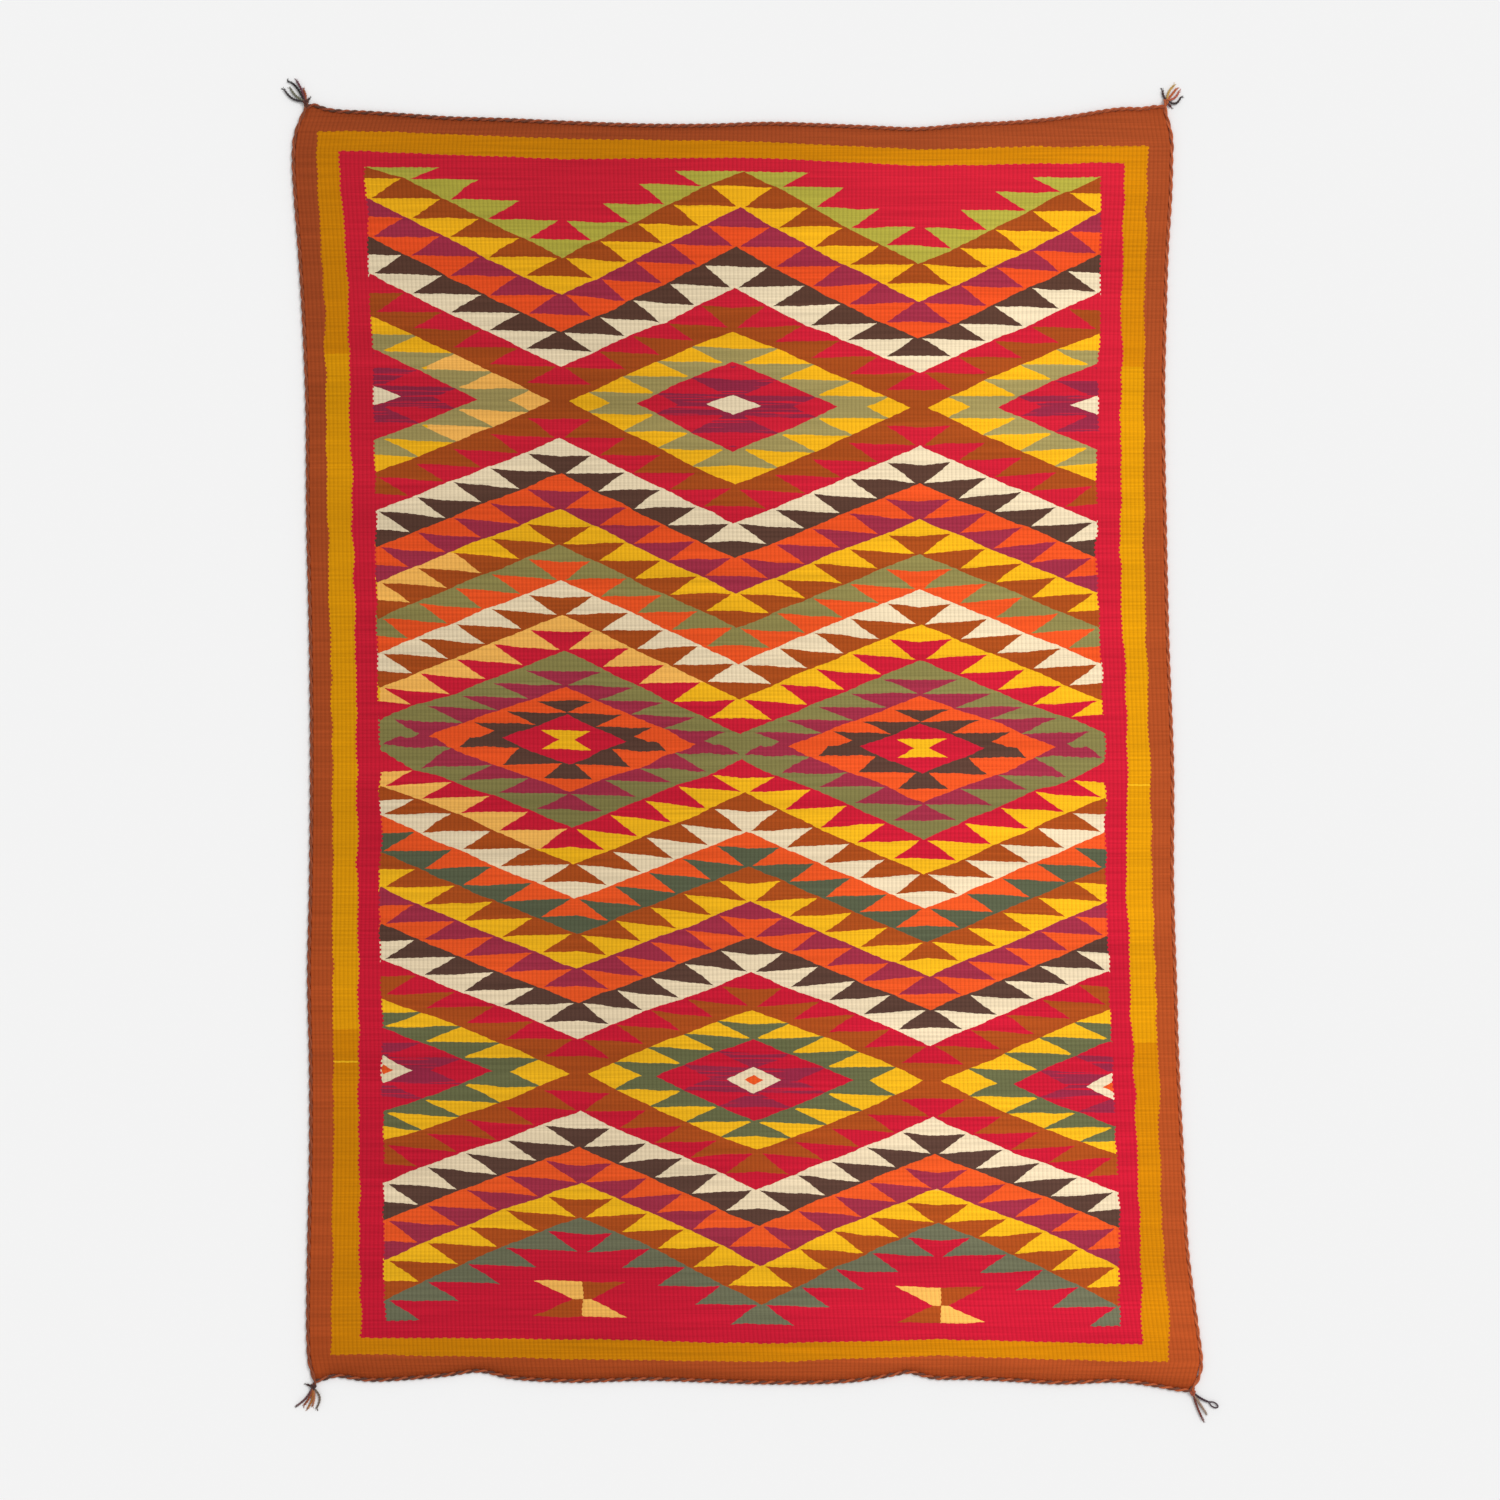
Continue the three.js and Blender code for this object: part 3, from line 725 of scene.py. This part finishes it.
def twined_cord(name):
    """Both plies of one edge cord."""
    cord = CORDS[name]
    places, reach = RIM[cord["side"]]
    upright = cord["side"] in ("left", "right")
    sign = 1 if cord["side"] in ("right", "top") else -1
    start = knot_place(cord["from"])
    end = knot_place(cord["to"])

    def beside(place, out):
        """The point a little way out from the panel's edge."""
        out += float(rim(cord["side"], place))
        return Vector((out, place, CORD_HEIGHT) if upright else (place, out, CORD_HEIGHT))

    points = [start, beside(places[0], 0).lerp(start, CORNER_SHARE)]
    for place in np.arange(places[0] + KNOT_GAP, places[-1] - KNOT_GAP / 2, RIM_STEP):
        points.append(beside(place, sign * CORD_OUT))
    points += [beside(places[-1], 0).lerp(end, CORNER_SHARE), end]
    line = smooth_line(points, cord["turn"] / STEPS_PER_TURN)
    bm = bmesh.new()
    bm.loops.layers.float_color.new("dye")
    bm.loops.layers.uv.new("twist")
    travelled = [0.0]
    for a, b in zip(line, line[1:]):
        travelled.append(travelled[-1] + (b - a).length)
    for ply in range(2):
        path = []
        for k, point in enumerate(line):
            ahead = line[min(k + 1, len(line) - 1)] - line[max(k - 1, 0)]
            side = ahead.cross(SKYWARD).normalized()
            angle = math.tau * travelled[k] / cord["turn"] + math.pi * ply
            path.append(point + (side * math.cos(angle) + SKYWARD * math.sin(angle)) * PLY_ORBIT)
        first, last = (Vector(linear(dye)) for dye in CORD_YARNS[name][ply])
        dyes = [first.lerp(last, k / len(line)) for k in range(len(line))]
        rolled_tube(bm, path, [PLY_RADIUS] * len(path), PLY_SIDES, dyes)
    bmesh.ops.holes_fill(bm, edges=bm.edges, sides=0)
    bmesh.ops.recalc_face_normals(bm, faces=bm.faces)
    return bm


def plied_wool(name):
    """Plied hand-spun wool: round and fibrous, with a soft sheen. Its fibres are drawn coarse, to show."""
    material = bpy.data.materials.new(name)
    material.use_nodes = True
    tree = material.node_tree
    shader = tree.nodes["Principled BSDF"]
    dye = add(tree, "ShaderNodeVertexColor", layer_name="dye")
    place = add(tree, "ShaderNodeTexCoord", out=3)
    fibre = add(tree, "ShaderNodeTexNoise", {"Vector": place, "Scale": YARN_FIBRES_PER_METRE, "Detail": 3.0})
    shade = add(tree, "ShaderNodeMapRange", {0: fibre, 1: 0.3, 2: 0.7, 3: 0.75, 4: 1.2})
    axes = add(tree, "ShaderNodeSeparateXYZ", {0: place})
    # The yarn is painted paler towards the right and darker towards the left: painted light, as from a lamp
    # on that side.
    painted_side_light = add(tree, "ShaderNodeMapRange", {0: axes, 1: -0.5, 2: 0.5, 3: 0.85, 4: 1.15})
    shade = add(tree, "ShaderNodeMath", {0: shade, 1: painted_side_light}, operation="MULTIPLY")
    colour = add(tree, "ShaderNodeVectorMath", {0: dye, "Scale": shade}, operation="SCALE")
    tree.links.new(colour, shader.inputs["Base Color"])
    bump = add(tree, "ShaderNodeBump", {"Strength": 0.6, "Distance": 0.0005, "Height": fibre})
    tree.links.new(bump, shader.inputs["Normal"])
    shader.inputs["Roughness"].default_value = 0.85
    shader.inputs["IOR"].default_value = 1.55
    shader.inputs["Specular IOR Level"].default_value = 0.25
    shader.inputs["Sheen Weight"].default_value = 0.1
    shader.inputs["Sheen Roughness"].default_value = 0.6
    return material


for name in CORDS:
    piece = as_object(name.replace("cord", "twining"), twined_cord(name))
    piece.data.materials.append(plied_wool(f"two_ply_wool_{name}"))
    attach(piece, "root")
    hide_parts(name)

# The corner tassels: where two cords meet, their ends are tied in one overhand knot and left as loose
# plied ends of different colours, which lie on the floor. A strand's bearing is in degrees, and its other
# numbers are in millimetres: its reach, how far it bows and its tip hooks to its left, and the length and
# width of the eye that it may end in.
KNOT_YARN = 1.25 * MM
KNOT_STEPS = 59
KNOT_SIZE = 0.85 * MM
KNOT_HEIGHT = 2.65 * MM
KNOT_SWING = 1.3 * MM
STRAND_RADIUS = 0.75 * MM
STRAND_TURN = 6 * MM
STRAND_START = 1.5 * MM
STRAND_RISE = 1.2 * MM
EYE_STEPS = 23
HAIRS = 5
HAIR_RADIUS = 0.22 * MM
HAIR_HEIGHT = 0.5 * MM
TASSELS = {
    "bottom_left": {"knot": "#4A2C26", "strands": [
        {"bearing": 162, "reach": 8, "bow": 0, "dye": "#4A302A"},
        {"bearing": 229, "reach": 28, "bow": 2, "dye": "#6E4444"},
        {"bearing": 243, "reach": 23, "bow": 1.5, "dye": "#A4532F"},
        {"bearing": 255, "reach": 25, "bow": 2, "dye": "#B8722F"},
        {"bearing": 267, "reach": 21, "bow": 1.5, "dye": "#BE7A55"},
        {"bearing": 278, "reach": 24, "bow": 5, "dye": "#7C6A5A"}]},
    "bottom_right": {"knot": "#9A4A30", "strands": [
        {"bearing": 291, "reach": 33, "bow": -1, "dye": "#703A32"},
        {"bearing": 303, "reach": 27, "bow": 0, "dye": "#9A8270"},
        {"bearing": 330, "reach": 22, "bow": -1, "dye": "#3E2830", "eye": (10, 5)}]},
    "top_right": {"knot": "#A4552F", "strands": [
        {"bearing": 311, "reach": 8, "bow": 0, "dye": "#5C3034"},
        {"bearing": 17, "reach": 17, "bow": -5, "dye": "#3C3030"},
        {"bearing": 38, "reach": 18, "bow": -2.5, "dye": "#B5604A"},
        {"bearing": 51, "reach": 18, "bow": 0, "dye": "#BC6032"},
        {"bearing": 64, "reach": 20, "bow": 2, "dye": "#C19A55"},
        {"bearing": 108, "reach": 13, "bow": 1, "dye": "#45302C"}]},
    "top_left": {"knot": "#5A3028", "strands": [
        {"bearing": 48, "reach": 6, "bow": 0, "dye": "#46302C"},
        {"bearing": 100, "reach": 14, "bow": -1, "dye": "#A8552E"},
        {"bearing": 113, "reach": 26, "bow": -1, "dye": "#75404A"},
        {"bearing": 121, "reach": 30, "bow": 0, "dye": "#2E2826", "hook": 5},
        {"bearing": 138, "reach": 23, "bow": 2, "dye": "#7C7A66"},
        {"bearing": 149, "reach": 28, "bow": 4, "dye": "#40383A"}]},
}


def overhand_knot(bm, middle, dye):
    """One overhand knot: a trefoil of yarn, pressed flat."""
    line = []
    for k in range(KNOT_STEPS + 1):
        t = math.tau * k / KNOT_STEPS
        ring = Vector((math.sin(t) + 2 * math.sin(2 * t), math.cos(t) - 2 * math.cos(2 * t), 0))
        height = KNOT_HEIGHT - math.sin(3 * t) * KNOT_SWING
        line.append(Vector((middle.x, middle.y, height)) + ring * KNOT_SIZE)
    rolled_tube(bm, line, [KNOT_YARN] * len(line), PLY_SIDES, [linear(dye)] * len(line), closed=True)


def loose_strand(bm, middle, strand, seed):
    """One plied end: two plies that lie down from the knot to the floor, and fray or end in an eye."""
    draw = random.Random(seed)
    bearing = math.radians(strand["bearing"])
    ahead = Vector((math.cos(bearing), math.sin(bearing), 0))
    aside = Vector((-ahead.y, ahead.x, 0))
    reach = strand["reach"] * MM
    dye = linear(strand["dye"])
    count = max(8, round(reach / (STRAND_TURN / 8)))
    base = []
    for k in range(count + 1):
        t = k / count
        bow = (math.sin(math.pi * t) * strand["bow"] + strand.get("hook", 0) * t ** 6) * MM
        base.append(middle + ahead * (STRAND_START + (reach - STRAND_START) * t) + aside * bow)
        base[-1].z = STRAND_RADIUS * 2 + (1 - t) ** 3 * STRAND_RISE
    for ply in range(2):
        line = []
        for k, point in enumerate(base):
            t = k / count
            angle = math.tau * reach * t / STRAND_TURN + math.pi * ply
            open_out = 1 + 0.8 * max(0, t - 0.8) / 0.2
            swing = aside * math.cos(angle) * open_out + SKYWARD * math.sin(angle)
            line.append(point + swing * STRAND_RADIUS * 0.9)
        radii = [STRAND_RADIUS * (1 - 0.5 * max(0, k / count - 0.75) / 0.25) for k in range(count + 1)]
        rolled_tube(bm, line, radii, 6, [dye] * len(line))
    if "eye" in strand:
        length, width = (size / 2 * MM for size in strand["eye"])
        line = []
        for k in range(EYE_STEPS + 1):
            t = math.tau * k / EYE_STEPS
            line.append(base[-1] + ahead * length * (1 - math.cos(t)) + aside * width * math.sin(t))
        rolled_tube(bm, line, [STRAND_RADIUS] * len(line), 6, [dye] * len(line), closed=True)
        return
    for _ in range(HAIRS):
        spread = draw.uniform(-1, 1)
        length = draw.uniform(1.5, 3.5) * MM
        tip = base[-1]
        line = [tip - ahead * STRAND_START + aside * spread * 0.4 * MM]
        line.append(tip + ahead * length * 0.4 + aside * spread * 0.8 * MM)
        line.append(tip + ahead * length + aside * spread * 1.8 * MM)
        for point in line:
            point.z = HAIR_HEIGHT
        line = smooth_line(line, 1 * MM)
        rolled_tube(bm, line, [HAIR_RADIUS] * len(line), 3, [dye] * len(line))


for corner, tassel in TASSELS.items():
    bm = bmesh.new()
    bm.loops.layers.float_color.new("dye")
    bm.loops.layers.uv.new("twist")
    middle = knot_place(corner)
    overhand_knot(bm, middle, tassel["knot"])
    for number, strand in enumerate(tassel["strands"]):
        loose_strand(bm, middle, strand, number)
    bmesh.ops.holes_fill(bm, edges=bm.edges, sides=0)
    bmesh.ops.recalc_face_normals(bm, faces=bm.faces)
    piece = as_object(f"corner_tassel_{corner}", bm)
    piece.data.materials.append(plied_wool(f"loose_wool_{corner}"))
    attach(piece, "root")
    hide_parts(f"tassel_{corner}")
